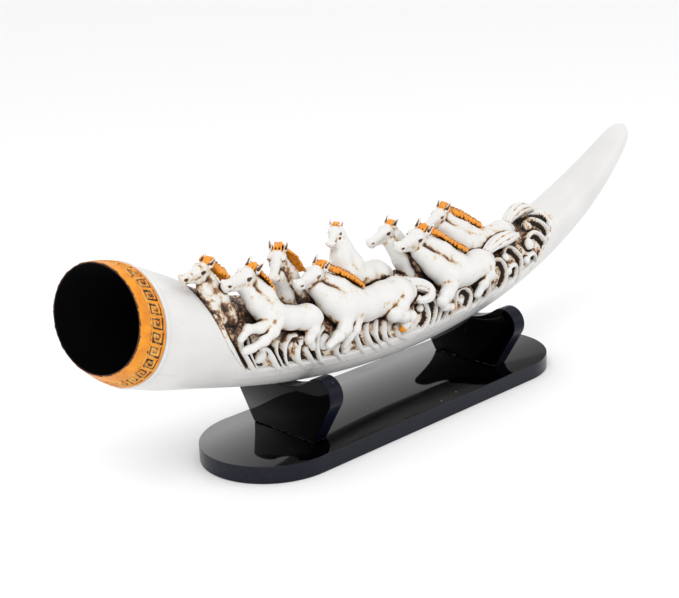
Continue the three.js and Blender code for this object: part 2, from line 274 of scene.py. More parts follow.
def lattice_noise(x, y, seed):
    """Smooth noise from -1 to 1 with one random value per unit square."""
    table = np.random.default_rng(seed).uniform(-1, 1, (64, 64))
    i, j = np.floor(x).astype(int), np.floor(y).astype(int)
    u, v = smooth(x - i, 0, 1), smooth(y - j, 0, 1)
    corner = lambda di, dj: table[(i + di) % 64, (j + dj) % 64]
    return ((corner(0, 0) * (1 - u) + corner(1, 0) * u) * (1 - v)
            + (corner(0, 1) * (1 - u) + corner(1, 1) * u) * v)


def pebbles(x, y, seed):
    """Rounded grains, one per unit square: 1 at a grain's middle and 0 between grains."""
    jitter = np.random.default_rng(seed).uniform(0.1, 0.9, (2, 64, 64))
    i, j = np.floor(x).astype(int), np.floor(y).astype(int)
    nearest = np.full(np.shape(x), 9.0)
    for di in (-1, 0, 1):
        for dj in (-1, 0, 1):
            gx, gy = (i + di) % 64, (j + dj) % 64
            away = np.hypot(i + di + jitter[0, gx, gy] - x, j + dj + jitter[1, gx, gy] - y)
            nearest = np.minimum(nearest, away)
    return np.clip(1 - nearest / 0.75, 0, 1)


# Carved field: rock ground and waves -----------------------------------------------------------

# Each wave is a ridge through [s, distance up from the field's foot] points, from its tip to its
# foot, then the side of its hollow (1 is towards the tip of the horn), its rise and its width.
WAVES = [
    ([(41, 29), (49, 16.5), (56, 9), (65, 0)], 1, 0.3, 3.4),
    ([(57, 21), (59, 13), (65, 6), (75, -3)], 1, 0.6, 0.9),
    ([(61, 18), (65, 9), (74, -1)], 1, 0.3, 0.6),
    ([(69, 11), (74, 10), (80, 4), (88, -4)], 1, 0.9, 1.6),
    ([(79, 15), (79, 9), (83, 4), (89, -3)], 1, 0.7, 0.7),
    ([(92, 14), (87, 14), (84, 10), (86, 4), (94, -4)], 1, 0.9, 0.7),
    ([(99, 13), (94, 12), (92, 8), (94, 3), (101, -3)], 1, 1.0, 0.8),
    ([(102, 14), (98, 12), (97, 8), (101, 3), (105, -2)], 1, 0.7, 0.5),
    ([(109, 16), (104, 13), (103, 8), (106, 2), (111, -3)], 1, 1.2, 1.8),
    ([(126, 11), (120, 8), (116, 4), (123, -4)], 1, 0.8, 0.8),
    ([(131, 17), (128, 10), (131, 3), (136, -3)], 1, 0.9, 0.7),
    ([(137, 16), (135, 9), (138, 3), (144, -3)], 1, 0.9, 0.7),
    ([(143, 14), (141, 7), (144, 1), (149, -4)], 1, 0.9, 0.7),
    ([(148, 12), (147, 6), (150, 0), (155, -3)], 1, 0.9, 0.8),
    ([(156, 8), (157, 2), (163, -2)], 1, 0.8, 0.7),
    ([(172, 14), (177, 11), (177, 4), (171, -1)], -1, 0.9, 0.9),
    ([(182, 16), (184, 9), (179, -1)], -1, 0.9, 0.8),
    ([(188, 14), (187, 7), (182, -1)], -1, 0.8, 0.6),
    ([(193, 9), (191, 4), (186, -2)], -1, 0.7, 0.6),
    ([(198, 7), (195, 2), (190, -2)], -1, 0.7, 0.5),
    ([(199, 5), (200, 10), (206, 11), (209, 6), (205, -1)], -1, 0.9, 0.9),
    ([(208, 16), (215, 12), (215, 4), (208, -3)], -1, 0.8, 0.8),
    ([(219, 18), (224, 12), (222, 3), (215, -3)], -1, 0.9, 0.8),
    ([(229, 17), (238, 14), (236, 4), (226, -3)], -1, 1.1, 1.0),
    ([(240, 8), (246, 7), (244, 1), (235, -3)], -1, 0.9, 0.9),
    ([(241, 15), (248, 17), (251, 8), (245, -2)], -1, 1.2, 1.0),
    ([(254, 6), (261, 5), (261, -2), (254, -6)], -1, 1.1, 1.0),
    ([(260, 13), (269, 13), (272, 4), (268, -5)], -1, 1.4, 1.2),
    ([(268, 20), (275, 19), (278, 10), (275, 1)], -1, 1.2, 1.1),
    ([(272, 30), (281, 24), (283, 13), (279, 2)], -1, 0.9, 0.9),
]
# Round curls at the tips of the larger waves: [s, distance up, radius, rise].
CURLS = [(71, 7, 3.2, 0.9), (93, 11, 1.6, 0.8), (108, 9, 4.2, 0.9), (122, 3, 2.6, 0.7),
         (173, 11, 2.1, 1.0), (201, 6, 1.8, 1.2), (209, 14, 2.1, 0.9), (230, 15, 2.2, 1.1),
         (240, 7, 2.0, 1.1), (242, 14, 2.3, 1.4), (255, 5, 2.2, 1.3), (261, 11, 3.0, 1.8),
         (269, 18, 2.5, 1.6), (273, 27, 2.2, 1.2)]


def up_field(s, degrees):
    """Distance round the horn from the field's foot."""
    return (degrees - through(FIELD_FOOT, s)) * np.radians(1) * outer_radius(s)


def curve_points(points, per_span=10):
    """A rounded path through points."""
    p = np.array([points[0]] + list(points) + [points[-1]], float)
    t = np.linspace(0, 1, per_span, endpoint=False)[:, None]
    spans = []
    for k in range(1, len(p) - 2):
        a, b, c, d = p[k - 1:k + 3]
        spans.append(0.5 * (2 * b + (c - a) * t + (2 * a - 5 * b + 4 * c - d) * t**2
                            + (3 * b - a - 3 * c + d) * t**3))
    return np.vstack(spans + [p[-1:]])


def ridge(s, v, points, hollow):
    """Distance from a wave's line, negative outside its hollow, and the share run along it."""
    path = curve_points(points)
    best = np.full(np.shape(s), 99.0)
    signed, run = best.copy(), np.zeros(np.shape(s))
    for k, (a, b) in enumerate(zip(path[:-1], path[1:])):
        d = b - a
        t = np.clip(((s - a[0]) * d[0] + (v - a[1]) * d[1]) / (d @ d), 0, 1)
        x, y = s - a[0] - t * d[0], v - a[1] - t * d[1]
        away = np.hypot(x, y)
        near = away < best
        side = np.sign(x * d[1] - y * d[0]) * -hollow
        best = np.where(near, away, best)
        signed = np.where(near, away * side, signed)
        run = np.where(near, (k + t) / (len(path) - 1), run)
    return signed, run


def wave_relief(s, v):
    """Height of the wave crests over the field's ground, and the depth of their hollows."""
    crest = np.full(np.shape(s), -9.0)
    hollow, line = np.zeros(np.shape(s)), np.zeros(np.shape(s))
    for points, side, rise, width in WAVES:
        where = (np.abs(s - np.mean([p[0] for p in points])) < 18) & (v < 34)
        q, run = ridge(s[where], v[where], points, side)
        taper = smooth(run, 0, 0.12)
        back = rise - (rise + 1.5) * smooth(-q, 0.25 * width, 3.0)
        face = rise - (rise + 2.2) * smooth(q, 0.3 * width, 0.3 * width + 0.9)
        lines = 0.12 * np.cos(2 * np.pi * q / 1.25) * smooth(-q, 0.4, 1.0) * smooth(-q, 3.4, 2.0)
        shape = np.where(q > 0, face, back + lines) - 1.6 * (1 - taper)
        crest[where] = np.maximum(crest[where], shape)
        pit = 1.9 * smooth(q, 0.3, 1.0) * (1 - smooth(q, 1.4, 4.0)) * smooth(run, 0.03, 0.3)
        hollow[where] = np.maximum(hollow[where], pit * (1 - smooth(run, 0.85, 1)))
        on_line = smooth(np.abs(q), 0.5 * width + 0.7, 0.4 * width) * taper
        line[where] = np.maximum(line[where], on_line)
    for cs, cv, radius, rise in CURLS:
        share = np.hypot(s - cs, v - cv) / radius
        ball = rise + radius * 0.55 * (np.sqrt(np.clip(1 - share**2, 0, 1)) - 1)
        crest = np.where(share < 1, np.maximum(crest, ball), crest)
        hollow = np.where(share < 0.92, 0, np.where(share < 1.35, np.maximum(
            hollow, 0.9 * smooth(share, 1.35, 1.1)), hollow))
        line = np.where(share < 1, np.maximum(line, smooth(share, 1.0, 0.85)), line)
    return crest, hollow * (1 - 0.85 * line)


def relief_height(s, degrees, b):
    """Height of the carved field over the horn's smooth surface, and how rough it is."""
    v = up_field(s, degrees)
    near, far, top = field_edges(s, degrees, b)
    on_top = smooth(degrees, 58, 82) * (1 - smooth(degrees, 98, FIELD_TOP))
    midway = smooth(s, 80, 130) * (1 - smooth(s, 190, 250))
    rock = (0.55 * lattice_noise(s / 4.2, v / 4.2, 1) + 0.35 * lattice_noise(s / 1.9, v / 1.9, 2)
            + 0.5 * pebbles(s / 1.5 + 0.4 * lattice_noise(s / 3, v / 3, 5), v / 1.3, 3)
            + 0.15 * lattice_noise(s / 0.8, v / 0.8, 4))
    ground = -1.7 + 0.75 * rock + RIDGE_RISE * on_top * midway
    crest, hollow = wave_relief(s, v)
    low = 1 - smooth(v, 12, 24)
    waves = np.maximum(crest, -1.4) - hollow
    rough = np.clip(smooth(v, 8, 22) + 0.5 * smooth(hollow, 0.4, 1.2), 0, 1)
    height = np.maximum(np.where(crest > -1.2, waves, ground - 0.4 * low * hollow),
                        ground * (1 - low) + low * (waves - 0.35 * rock))
    height *= smooth(v, -3.2, 0.8)
    inside = smooth(near, 0.3, 1.5) * smooth(far, -0.5, 2.5) * smooth(top, 0.4, 2.4)
    bevel = -0.4 * smooth(near, -2.4, -1.8) * smooth(v, -2.5, 1) * smooth(top, 0.4, 2.4)
    return np.where(near < 2, bevel * (1 - inside), 0) + height * inside, rough * inside


# Sculpting --------------------------------------------------------------------------------------


def unit(v):
    v = np.asarray(v, float)
    return v / np.linalg.norm(v)


class Sculpt:
    """A distance field on a grid, built up from soft-joined solids. gilt holds the painted ones
    and ink the cut ones."""

    FAR = 6.0

    def __init__(self, low, high, step):
        self.step = step
        self.low = np.floor(np.asarray(low) / step) * step
        count = np.ceil((np.asarray(high) - self.low) / step).astype(int) + 1
        self.axes = [self.low[i] + step * np.arange(count[i]) for i in range(3)]
        self.field = np.full(count, self.FAR, np.float32)
        self.gilt = self.field.copy()
        self.ink = self.field.copy()

    def window(self, low, high):
        spans = [slice(*np.searchsorted(axis, [low[i], high[i]]))
                 for i, axis in enumerate(self.axes)]
        grids = np.meshgrid(*[axis[span] for axis, span in zip(self.axes, spans)], indexing="ij")
        return tuple(spans), np.stack(grids, -1)

    def merge(self, low, high, distance, blend, gilt, cut):
        """Joins a solid on softly, or cuts it out."""
        where, p = self.window(low - blend - 1, high + blend + 1)
        if not p.size:
            return
        sign = -1 if cut else 1
        d, old = distance(p).astype(np.float32), sign * self.field[where]
        mix = np.clip(0.5 + 0.5 * (old - d) / blend, 0, 1)
        self.field[where] = sign * (old * (1 - mix) + d * mix - blend * mix * (1 - mix))
        if cut or gilt:
            marks = self.ink if cut else self.gilt
            marks[where] = np.minimum(marks[where], d)

    def limb(self, a, b, ra, rb, blend=1.0, gilt=False, cut=False):
        """A round-ended cone from a to b."""
        a, b = np.asarray(a, float), np.asarray(b, float)
        axis = b - a
        length2 = max(axis @ axis, 1e-9)

        def distance(p):
            t = np.clip((p - a) @ axis / length2, 0, 1)
            return np.linalg.norm(p - a - t[..., None] * axis, axis=-1) - (ra + (rb - ra) * t)

        big = max(ra, rb)
        self.merge(np.minimum(a, b) - big, np.maximum(a, b) + big, distance, blend, gilt, cut)

    def blob(self, centre, frame_axes, radii, blend=1.0, gilt=False, cut=False):
        """An ellipsoid with its radii along the rows of frame_axes."""
        centre, radii = np.asarray(centre, float), np.asarray(radii, float)

        def distance(p):
            q = (p - centre) @ np.asarray(frame_axes).T
            k0 = np.linalg.norm(q / radii, axis=-1)
            k1 = np.linalg.norm(q / radii**2, axis=-1)
            return k0 * (k0 - 1) / np.maximum(k1, 1e-6)

        big = radii.max()
        self.merge(centre - big, centre + big, distance, blend, gilt, cut)

    def sample(self, values, points):
        """Values of a grid at points between its corners."""
        g = (points - self.low) / self.step
        i = np.clip(np.floor(g).astype(int), 0, np.array(values.shape) - 2)
        t = np.clip(g - i, 0, 1)
        total = 0
        for corner in np.ndindex(2, 2, 2):
            w = np.prod([t[:, k] if corner[k] else 1 - t[:, k] for k in range(3)], axis=0)
            total = total + w * values[i[:, 0] + corner[0], i[:, 1] + corner[1],
                                       i[:, 2] + corner[2]]
        return total

    def creases(self, points, reach=0.8):
        """1 in a tight crease of the skin, 0 where it is flat or rounded outwards."""
        normal = np.stack([self.sample(self.field, points + move) - self.sample(
            self.field, points - move) for move in self.step * np.eye(3)], 1)
        normal /= np.maximum(np.linalg.norm(normal, axis=1, keepdims=True), 1e-6)
        return np.clip(1 - self.sample(self.field, points + reach * normal) / reach, 0, 1)

    def skin(self):
        """The field's zero surface as points and outward quads (surface nets)."""
        values = self.field.astype(float)
        cells = np.array(values.shape) - 1
        ids, spots, quads = [], [], []
        for axis in range(3):
            other = [k for k in range(3) if k != axis]
            spans = lambda first: tuple(
                (slice(0, -1) if first else slice(1, None)) if k == axis else slice(1, -1)
                for k in range(3))
            a, b = values[spans(True)], values[spans(False)]
            edge = np.argwhere((a < 0) != (b < 0))
            va, vb = a[tuple(edge.T)], b[tuple(edge.T)]
            edge[:, other] += 1
            spot = edge.astype(float)
            spot[:, axis] += va / (va - vb)
            four = []
            for step in ((0, 0), (1, 0), (1, 1), (0, 1)):
                cell = edge.copy()
                cell[:, other] -= step
                four.append(np.ravel_multi_index(cell.T, cells))
            four = np.stack(four, 1)
            ids.append(four.ravel())
            spots.append(np.repeat(spot, 4, axis=0))
            turned = (va < 0) == (axis == 1)
            four[turned] = four[turned][:, ::-1]
            quads.append(four)
        ids, spots, quads = map(np.concatenate, (ids, spots, quads))
        used, index = np.unique(ids, return_inverse=True)
        points = np.stack([np.bincount(index, spots[:, k]) for k in range(3)], 1)
        points /= np.bincount(index)[:, None]
        return self.low + points * self.step, np.searchsorted(used, quads)


# Horses -----------------------------------------------------------------------------------------

# Stations are [s, degrees round, height, radius], as in the CAD. face points out of the forehead,
# mane is the crest's path from behind the ears, and hooves lists the legs whose hoof is gilded.
HERD = {
    "horse_1": dict(
        wash=0.34, head=[(40, 67, 10), (23, 50, 5.2)], face=(-0.35, -0.45, 1), width=1.0,
        neck=[[(41, 66, 6.0, 3.6), (47, 55, 1.5, 4.2), (53, 40, -3.2, 4.2), (58, 27, -6.4, 4)],
              [(38, 57, 3.5, 2.8), (42, 46, 0, 3.4), (47, 34, -3.2, 3.4), (51, 24, -5.6, 3)]],
        mane=[(42, 74, 10.5), (49, 72, 8.5), (55, 67, 5)], mane_size=2.9, body=[], legs=[],
        tail=[]),
    "horse_2": dict(
        wash=0.08, head=[(66, 69, 12), (44, 51, 9)], face=(-0.35, -0.5, 1), width=1.0,
        neck=[[(66, 68, 9, 3.8), (72, 55, 6, 4.4), (76, 44, 3, 5.2)],
              [(61, 59, 7, 3.2), (66, 47, 4.5, 3.9), (72, 36, 2.5, 4.8)]],
        mane=[(67, 72, 13), (72, 66, 11), (76, 61, 8.5)], mane_size=2.1,
        body=[[(74, 39, 2.6, 5.6), (86, 37, 2.2, 5.0), (97, 37, 2.4, 5.7), (101, 39, 1.5, 4.6)]],
        legs=[[(76, 31, 4, 3.6), (72, 20, 4.6, 2.6), (67.5, 11, 4.2, 2.1), (62, 3, 3.4, 1.5),
               (60, 1, 3, 1.7)],
              [(73, 30, 3, 3.2), (66, 23, 3.4, 2.2), (59, 21, 3, 1.9), (57, 14, 2, 1.5)],
              [(99, 34, 3, 5), (98, 22, 2.6, 3), (96, 11, 2, 2), (98, 5, 1.5, 1.6)]],
        tail=[]),
    "horse_3": dict(
        wash=0.3, head=[(92, 91, 20), (81.5, 72, 8.5)], face=(-0.75, -0.75, 0.35), width=1.5,
        neck=[[(93, 90, 14, 4.4), (98, 86, 8, 4.6), (104, 80, -0.5, 4.4),
               (111, 73, -5.5, 4)],
              [(89, 82, 9, 3.2), (94, 76, 1, 3.6), (99, 68, -4.6, 3.2)]],
        mane=[(94, 90, 20), (99, 88, 17), (105, 86, 12)], mane_size=2.0, body=[], legs=[],
        tail=[]),
    "horse_4": dict(
        wash=0.05, head=[(112, 76, 13.5), (90, 60, 11)], face=(-0.35, -0.5, 1), width=1.1,
        neck=[[(113, 74, 9.5, 4.4), (121, 65, 7, 5.6), (128, 56, 3.5, 6.8)],
              [(107, 63, 7.5, 4), (113, 52, 5, 5.6), (119, 42, 3, 6.8)]],
        mane=[(116, 79, 14.5), (122, 74, 13), (128, 68, 11.5), (133, 62, 9.5)], mane_size=2.5,
        body=[[(122, 45, 3, 7.8), (136, 46, 2.4, 7.4), (150, 50, 2.6, 7.8), (160, 53, 2.8, 7.6),
               (167, 54, 1.5, 6)]],
        legs=[[(119, 31, 3.6, 4.4), (117, 20, 4, 3.1), (113, 12, 3.4, 2.4), (109, 5, 3, 1.7)],
              [(126, 30, 3, 4), (124, 18, 3, 2.6), (120, 9, 2.6, 2), (119, 3, 2, 1.6)],
              [(160, 46, 4, 6.4), (155, 33, 5, 4.2), (150, 25, 4.6, 3.4), (156, 20, 4.6, 2.9),
               (161, 17, 4.4, 2.4), (158, 10, 3.6, 1.9), (157, 7, 3.2, 1.8)]],
        hooves=[2], tail=[(167, 60, 5, 3.2), (176, 54, 4, 3.2), (181, 42, 3, 2.8),
                          (178, 32, 3, 2.2), (171, 33, 3, 1.6), (173, 38, 2.6, 1.0)]),
    "horse_5": dict(
        wash=0.24, head=[(132.5, 93, 30), (121.5, 84, 23)], face=(-0.8, -0.7, 0.45), width=1.55,
        neck=[[(132.5, 92, 26.5, 4.1), (134.5, 90, 20, 4.9), (139, 88, 13, 6.6)],
              [(130, 89, 23, 3.2), (131, 86, 16, 4.6), (131, 82, 9, 6.2)]],
        mane=[], mane_size=1.2,
        body=[[(134, 83, 8.5, 6.8), (146, 85, 7, 6.4), (158, 89, 6.2, 6.4), (164, 91, 5, 5)]],
        legs=[[(132, 74, 7, 4), (127, 66, 5, 2.8), (126, 60, 3, 2.2)]], tail=[]),
    "horse_6": dict(
        wash=0.3, head=[(177, 97, 25), (155, 92, 20.5)], face=(-0.35, -0.3, 1), width=1.0,
        neck=[[(178, 97, 21, 3.8), (183, 93, 13, 4.4), (187, 88, 3, 4.4), (191, 82, -4, 4)],
              [(172, 94, 18.5, 3.0), (176, 89, 10, 3.6), (179, 84, 2, 3.6), (183, 77, -5, 3.2)]],
        mane=[(180, 99, 25), (185, 98, 19), (190, 97, 13)], mane_size=1.2, body=[], legs=[],
        tail=[]),
    "horse_7": dict(
        wash=0.06, head=[(190, 84, 20.5), (163.5, 75, 20.5)], face=(-0.3, -0.45, 1), width=1.1,
        neck=[[(191, 83, 16.5, 4.4), (199, 74, 11, 5.6), (206, 62, 5, 6.6)],
              [(183, 77, 14, 3.8), (190, 64, 8, 5.4), (196, 50, 4, 6.6)]],
        mane=[(192, 88, 22.5), (198, 86, 20), (202, 80, 16.5), (206, 72, 14), (212, 65, 11)],
        mane_size=2.5,
        body=[[(198, 50, 3, 7), (209, 48, 2.2, 6.8), (221, 48, 2.6, 7.2), (227, 49, 1, 5.6)]],
        legs=[[(194, 36, 4, 4), (189, 28, 4.6, 3.2), (184.5, 21, 4.2, 2.5), (186, 13, 3.6, 2),
               (190, 9, 3.2, 1.8)],
              [(223, 40, 3.6, 5.4), (222, 28, 3, 3.6), (217, 17, 2.6, 2.3), (213, 8, 2, 1.7)]],
        hooves=[0], tail=[(228, 57, 3.4, 2.0), (237, 60, 5, 3.4), (247, 58, 5, 3.6),
                          (256, 54, 3, 1.6)]),
    "horse_8": dict(
        wash=0.1, head=[(220, 99, 23.5), (198, 92, 21)], face=(-0.3, -0.35, 1), width=1.05,
        neck=[[(221, 99, 19.5, 4), (227, 97, 13, 5.2), (234, 94, 5, 6.4)],
              [(214, 94, 17, 3.3), (220, 90, 10, 4.8), (226, 85, 4, 6)]],
        mane=[(223, 101, 24), (229, 99, 19.5), (235, 97, 14.5), (240, 94, 10)], mane_size=2.9,
        body=[[(230, 88, 2.6, 7), (242, 86, 1.4, 6.6), (253, 84, 0.8, 6.4), (258, 84, -0.6, 5)]],
        legs=[], tail=[(259, 88, 2.2, 2.2), (266, 92, 4.6, 3.4), (274, 92, 4.6, 3.8),
                       (282, 86, 1.8, 1.8)]),
}
HORSE_STEP = 0.34


def station(values):
    return on_horn(*values[:3])


def carve_head(art, poll, muzzle, face, width):
    """A horse's head from the poll to the muzzle, with its ears, eyes, nostrils and mouth. Places
    are (forward, up, out) and sizes are shares of the head's length."""
    length = np.linalg.norm(muzzle - poll)
    along = unit(muzzle - poll)
    brow = unit(np.asarray(face) - np.dot(face, along) * along)
    side = np.cross(along, brow)
    axes = np.array([along, brow, side])

    def at(forward, up=0.0, out=0.0):
        return poll + length * (forward * along + up * brow + out * width * side)

    def ball(place, radii, blend, **kind):
        art.blob(at(*place), axes, length * np.array(radii), blend, **kind)

    def rod(a, b, ra, rb, blend, **kind):
        art.limb(at(*a), at(*b), ra * length, rb * length, blend, **kind)

    ball((0.2, -0.02), (0.24, 0.19, 0.15 * width), 1.2)
    for out in (-1, 1):
        ball((0.3, -0.12, 0.05 * out), (0.18, 0.17, 0.11), 1.0)
    rod((0.26, 0.03), (0.82, -0.01), 0.145, 0.088, 1.2)
    rod((0.34, -0.15), (0.84, -0.09), 0.105, 0.062, 1.0)
    ball((0.88, -0.02), (0.125, 0.115, 0.118 * width), 1.0)
    ball((0.85, -0.115), (0.09, 0.05, 0.075), 0.6)
    for out in (-1, 1):
        ball((0.32, 0.10, 0.115 * out), (0.08, 0.045, 0.045), 0.8)
        ball((0.36, 0.045, 0.15 * out), (0.062, 0.036, 0.04), 0.3, cut=True)
        ball((0.36, 0.042, 0.128 * out), (0.04, 0.027, 0.03), 0.15)
        rod((0.45, -0.05, 0.15 * out), (0.74, -0.05, 0.12 * out), 0.02, 0.014, 0.6, cut=True)
        ball((0.94, 0.035, 0.085 * out), (0.055, 0.045, 0.04), 0.6)
        ball((0.965, 0.03, 0.115 * out), (0.034, 0.024, 0.04), 0.25, cut=True)
        rod((0.07, 0.12, 0.11 * out), (-0.02, 0.28, 0.14 * out), 0.06, 0.024, 0.5)
        rod((0.09, 0.17, 0.13 * out), (0.02, 0.27, 0.15 * out), 0.03, 0.012, 0.25, cut=True)
    for out in (0.2, -0.2):
        rod((0.80, -0.075, out), (1.1, -0.06, out), 0.014, 0.02, 0.3, cut=True)
    rod((0.9, -0.075, -0.12), (0.9, -0.075, 0.12), 0.016, 0.016, 0.3, cut=True)
    for out, tip in ((-0.045, 0.22), (0.005, 0.27), (0.05, 0.22)):
        rod((-0.07, 0.14, out), (0.05, 0.205, 0.8 * out), 0.042, 0.038, 0.12, gilt=True)
        rod((0.05, 0.205, 0.8 * out), (tip, 0.13, 1.7 * out), 0.036, 0.010, 0.12, gilt=True)
    return at


def carve_mane(art, path, size, outward):
    """Locks lying side by side across the crest of the neck."""
    run = curve_points(path, 24)
    length = np.insert(np.cumsum(np.linalg.norm(np.diff(run, axis=0), axis=1)), 0, 0)
    count = max(3, int(length[-1] / (0.62 * size)))
    spots = np.stack([np.interp(np.linspace(0, length[-1], count), length, run[:, i])
                      for i in range(3)], 1)
    for k, root in enumerate(spots):
        ahead = unit(spots[min(k + 1, count - 1)] - spots[max(k - 1, 0)])
        across = unit(outward - (outward @ ahead) * ahead)
        up = np.cross(ahead, across)
        up = up if up[2] > 0 else -up
        swell = 1.15 - 0.45 * abs(2 * k / (count - 1) - 0.8) + 0.1 * math.sin(2.4 * k)
        reach = size * swell
        bend = root + reach * (0.55 * across + 0.45 * up + 0.2 * ahead)
        art.limb(root + reach * (0.3 * up - 0.6 * across), bend, 0.5 * size, 0.46 * size, 0.12,
                 gilt=True)
        art.limb(bend, root + reach * (1.5 * across - 0.5 * up + 0.7 * ahead), 0.46 * size,
                 0.28 * size, 0.12, gilt=True)
        between = root + 0.31 * size * ahead
        art.limb(between + 0.95 * reach * up, between + 1.1 * reach * across + 0.5 * reach * up,
                 0.19 * size, 0.15 * size, 0.1, cut=True)


def carve_tail(art, stations, strands=7):
    """A bundle of hair strands that swells in its middle."""
    path = curve_points([station(q) for q in stations], 5)
    radius = curve_points([(q[3], 0) for q in stations], 5)[:, 0]
    for k, (a, b) in enumerate(zip(path[:-1], path[1:])):
        art.limb(a, b, 0.72 * radius[k], 0.72 * radius[k + 1], 0.3)
    for j in range(strands):
        angle = 2 * math.pi * j / strands
        points = []
        for k, p in enumerate(path):
            ahead = unit(path[min(k + 1, len(path) - 1)] - path[max(k - 1, 0)])
            across = unit(np.cross(ahead, [0, 0, 1]))
            over = np.cross(across, ahead)
            turn = angle + 0.06 * k
            points.append(p + 0.66 * radius[k] * (math.cos(turn) * across
                                                  + math.sin(turn) * over))
        for k in range(len(points) - 1):
            art.limb(points[k], points[k + 1], 0.36 * radius[k], 0.36 * radius[k + 1], 0.12)


def sculpt_horse(spec):
    """A distance field of one horse from its stations."""
    places = [station(q) for part in ("head", "mane") for q in spec[part]]
    places += [station(q) for part in ("neck", "body", "legs") for c in spec[part] for q in c]
    places += [station(q) for q in spec["tail"]]
    art = Sculpt(np.min(places, 0) - 11, np.max(places, 0) + 11, HORSE_STEP)
    for chain in spec["body"] + spec["neck"]:
        for a, b in zip(chain[:-1], chain[1:]):
            art.limb(station(a), station(b), a[3], b[3], 2.0)
    for k, chain in enumerate(spec["legs"]):
        for a, b in zip(chain[:-1], chain[1:]):
            art.limb(station(a), station(b), a[3], b[3], 1.0)
            art.blob(station(b), np.eye(3), np.full(3, b[3] * 1.12), 0.8)
        a, b = station(chain[-2]), station(chain[-1])
        art.limb(b, b + 1.6 * unit(b - a), chain[-1][3] * 0.85, chain[-1][3] * 1.05, 0.3,
                 gilt=k in spec.get("hooves", ()))
    if spec["tail"]:
        carve_tail(art, spec["tail"])
    poll, muzzle = (station(q) for q in spec["head"])
    at = carve_head(art, poll, muzzle, spec["face"], spec["width"])
    if spec["mane"]:
        outward = unit(np.cross(unit(muzzle - poll), [0, 0, 1]) * -1)
        outward = outward if outward[1] < 0 else -outward
        carve_mane(art, [at(-0.04, 0.14)] + [station(q) for q in spec["mane"]],
                   spec["mane_size"], outward)
    return art


# Crevices ---------------------------------------------------------------------------------------


# Its two measures darken the carved surfaces in their crevices as painted shade.
class Crowding:
    """How enclosed each place is by the horn, its ground and its horses, at two distances."""

    STEP = 0.6

    def __init__(self, arts):
        low = np.array([-152.0, -34, 30])
        high = np.array([128.0, 30, 128])
        self.grid = Sculpt(low, high, self.STEP)
        s, along, over = unroll(*np.meshgrid(self.grid.axes[0], self.grid.axes[2],
                                             indexing="ij"), 2)
        y = self.grid.axes[1][None, :, None]
        radius = np.hypot(over[:, None, :], y)
        degrees = np.degrees(np.arctan2(over[:, None, :], -y))
        s = np.broadcast_to((s + along)[:, None, :], radius.shape)
        a, b = field_share(s, degrees)
        carved = (a > 0) & (a < 1) & (b > 0) & (b < 1)
        height = np.zeros(radius.shape)
        height[carved] = relief_height(s[carved], degrees[carved], b[carved])[0]
        solid = (radius < outer_radius(s) + height).astype(np.float32)
        for art in arts.values():
            where, p = self.grid.window(art.low, [axis[-1] for axis in art.axes])
            inside = art.sample(art.field, p.reshape(-1, 3)) < 0
            solid[where] = np.maximum(solid[where], inside.reshape(p.shape[:-1]))
        self.fine = self.blur(solid, 1)
        self.broad = self.blur(solid, 5)

    @staticmethod
    def blur(values, reach):
        n = 2 * reach + 1
        for _ in range(2):
            for axis in range(3):
                pad = [(reach + 1, reach) if k == axis else (0, 0) for k in range(3)]
                total = np.insert(np.pad(values, pad, mode="edge"), 0, 0, axis=axis)
                total = np.moveaxis(np.cumsum(total, axis=axis), axis, 0)
                total = (total[n + 1:] - total[1:-n]) / n
                values = np.moveaxis(total, 0, axis).astype(np.float32)
        return values

    def at(self, points):
        """0 in the open, 1 in a deep crevice."""
        fine = self.grid.sample(self.fine, points)
        broad = self.grid.sample(self.broad, points)
        return np.clip((fine - 0.5) * 2.2, -1, 1), np.clip((broad - 0.5) * 2.6, -1, 1)


# Materials --------------------------------------------------------------------------------------


def hex_colour(code):
    channels = [int(code[k:k + 2], 16) / 255 for k in (0, 2, 4)]
    return [c / 12.92 if c <= 0.04045 else ((c + 0.055) / 1.055) ** 2.4 for c in channels] + [1]


